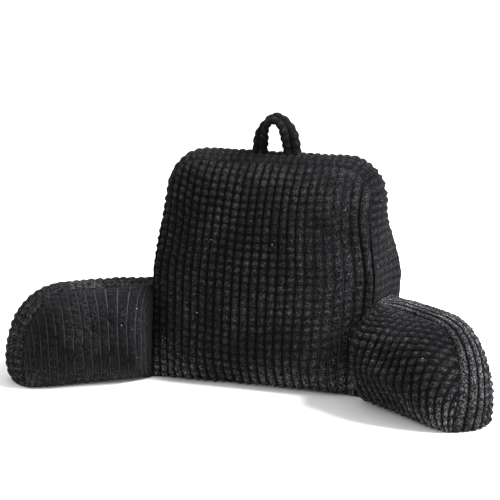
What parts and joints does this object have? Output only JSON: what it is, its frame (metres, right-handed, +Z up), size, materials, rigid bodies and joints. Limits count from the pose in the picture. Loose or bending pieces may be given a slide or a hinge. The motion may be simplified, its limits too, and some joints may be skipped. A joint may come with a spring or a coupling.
{
  "type": "reading pillow with arms",
  "caption": "Reading pillow in ribbed plush: a leaning padded backrest, two splayed padded arms with rounded tips and a grab loop on the top edge.",
  "frame": {"origin": "under the middle of the footprint, on the plane the pillow rests on", "axes": "+Z up, -Y out of the front, where the reader sits, +X towards the pillow's arm on the viewer's right"},
  "size_m": [1.0004, 0.3432, 0.5178],
  "materials": {
    "plush": "black ribbed plush with a short soft pile",
    "strap": "black ribbed plush, folded and sewn flat"
  },
  "bodies": {
    "root": {"backrest": "plush", "arm_left": "plush", "arm_right": "plush", "handle": "strap"}
  },
  "joints": []
}
